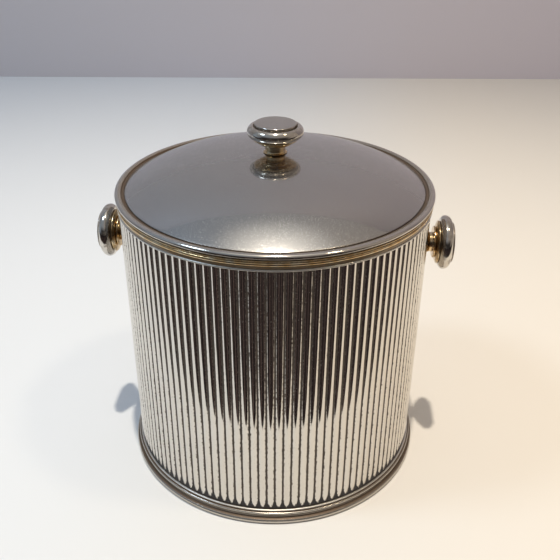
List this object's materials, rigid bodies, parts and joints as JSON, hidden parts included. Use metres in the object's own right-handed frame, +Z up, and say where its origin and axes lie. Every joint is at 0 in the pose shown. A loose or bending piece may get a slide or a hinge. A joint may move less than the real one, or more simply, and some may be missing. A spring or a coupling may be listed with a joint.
{
  "type": "ice bucket",
  "caption": "Round lidded ice bucket with a vertically fluted plated wall, brass collar, double-bead foot, insulated steel liner and mushroom knobs on the sides and the domed lid.",
  "frame": {"origin": "centre of the foot's underside, on the surface the bucket stands on", "axes": "+Z up along the bucket's axis, +X through the right side knob, -Y towards the front"},
  "size_m": [0.23, 0.2044, 0.2326],
  "materials": {
    "silver_plate": "polished silver plate over brass, tarnished dark in the grooves",
    "worn_brass": "polished brass showing where the plate has worn through",
    "liner_steel": "satin drawn steel",
    "foam": "moulded foam",
    "seal_rubber": "matt rubber",
    "base_felt": "pressed felt",
    "fastener_steel": "plain steel"
  },
  "bodies": {
    "bucket": {"outer_shell": "silver_plate", "upper_bead_ring": "silver_plate", "lower_bead_ring": "silver_plate", "top_collar": "worn_brass", "foot_ring": "silver_plate", "base_plate": "silver_plate", "base_pad": "base_felt", "base_screw_1": "fastener_steel", "base_screw_2": "fastener_steel", "base_screw_3": "fastener_steel", "inner_liner": "liner_steel", "liner_gasket": "seal_rubber", "insulation_jacket": "foam", "right_knob_button": "silver_plate", "right_knob_head": "silver_plate", "right_knob_cone": "worn_brass", "right_knob_bead": "worn_brass", "right_knob_neck": "worn_brass", "right_knob_stud": "fastener_steel", "right_knob_washer": "fastener_steel", "right_knob_nut": "fastener_steel", "left_knob_button": "silver_plate", "left_knob_head": "silver_plate", "left_knob_cone": "worn_brass", "left_knob_bead": "worn_brass", "left_knob_neck": "worn_brass", "left_knob_stud": "fastener_steel", "left_knob_washer": "fastener_steel", "left_knob_nut": "fastener_steel"},
    "seal": {"lid_seal": "seal_rubber"},
    "lid": {"lid_rim": "silver_plate", "lid_dome": "silver_plate", "lid_liner": "liner_steel", "lid_insulation": "foam", "lid_knob_button": "silver_plate", "lid_knob_head": "silver_plate", "lid_knob_cone": "worn_brass", "lid_knob_bead": "worn_brass", "lid_knob_neck": "worn_brass", "lid_knob_stud": "fastener_steel", "lid_knob_washer": "fastener_steel", "lid_knob_nut": "fastener_steel"}
  },
  "joints": [
    {"name": "lid_lift", "type": "slide", "parent": "bucket", "child": "seal", "axis": [0, 0, 1], "range_m": [0, 0.12]},
    {"name": "lid_turn", "type": "hinge", "parent": "seal", "child": "lid", "pos_m": [0, 0, 0.1909], "axis": [0, 0, 1], "continuous": true}
  ]
}
